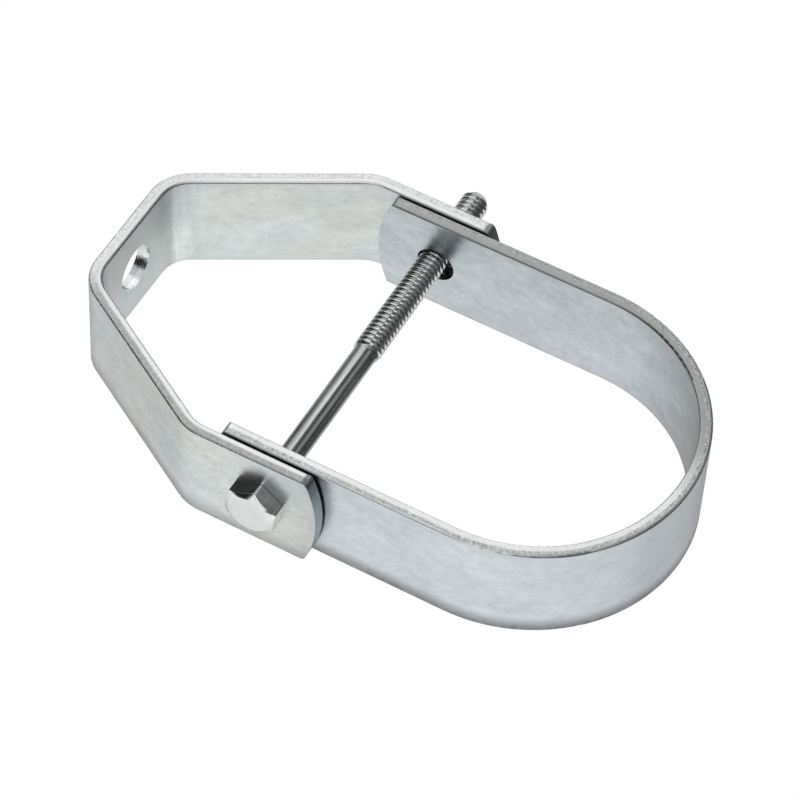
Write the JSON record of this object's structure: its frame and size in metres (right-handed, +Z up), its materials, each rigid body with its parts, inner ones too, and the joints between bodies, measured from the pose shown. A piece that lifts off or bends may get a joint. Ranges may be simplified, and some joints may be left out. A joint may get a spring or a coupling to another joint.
{
  "type": "clevis pipe hanger",
  "caption": "Steel strap hanger that carries a horizontal pipe from a threaded rod: a bent yoke, a round-bottomed cradle strap and a cross bolt with its nut.",
  "frame": {"origin": "centre of the rod hole at the crown's upper face, the way the hanger hangs", "axes": "+Z up along the hanger rod, X along the cross bolt with its head at -X, Y along the pipe"},
  "size_m": [0.0975, 0.0254, 0.1329],
  "materials": {
    "zinc_strap": "bright zinc plate on hot-rolled strap, sheared edges lighter and rough",
    "zinc_fastener": "bright zinc plate on a cold-formed bolt and nut, glossier than the straps"
  },
  "bodies": {
    "yoke": {"upper_yoke": "zinc_strap"},
    "cradle": {"cradle_strap": "zinc_strap"},
    "bolt": {"cross_bolt": "zinc_fastener"},
    "nut": {"hex_nut": "zinc_fastener"}
  },
  "joints": [
    {"name": "cradle_swing", "type": "hinge", "parent": "yoke", "child": "cradle", "pos_m": [0, 0, -0.0556], "axis": [1, 0, 0], "range_deg": [-100, 100]},
    {"name": "bolt_turn", "type": "hinge", "parent": "yoke", "child": "bolt", "pos_m": [0, 0, -0.0556], "axis": [1, 0, 0], "range_deg": [-2160, 0]},
    {"name": "nut_travel", "type": "slide", "parent": "yoke", "child": "nut", "axis": [1, 0, 0], "range_m": [0, 0.0077]}
  ],
  "couplings": [
    {"joint": "nut_travel", "follows": "bolt_turn", "m_per_rad": -0.00020213}
  ]
}
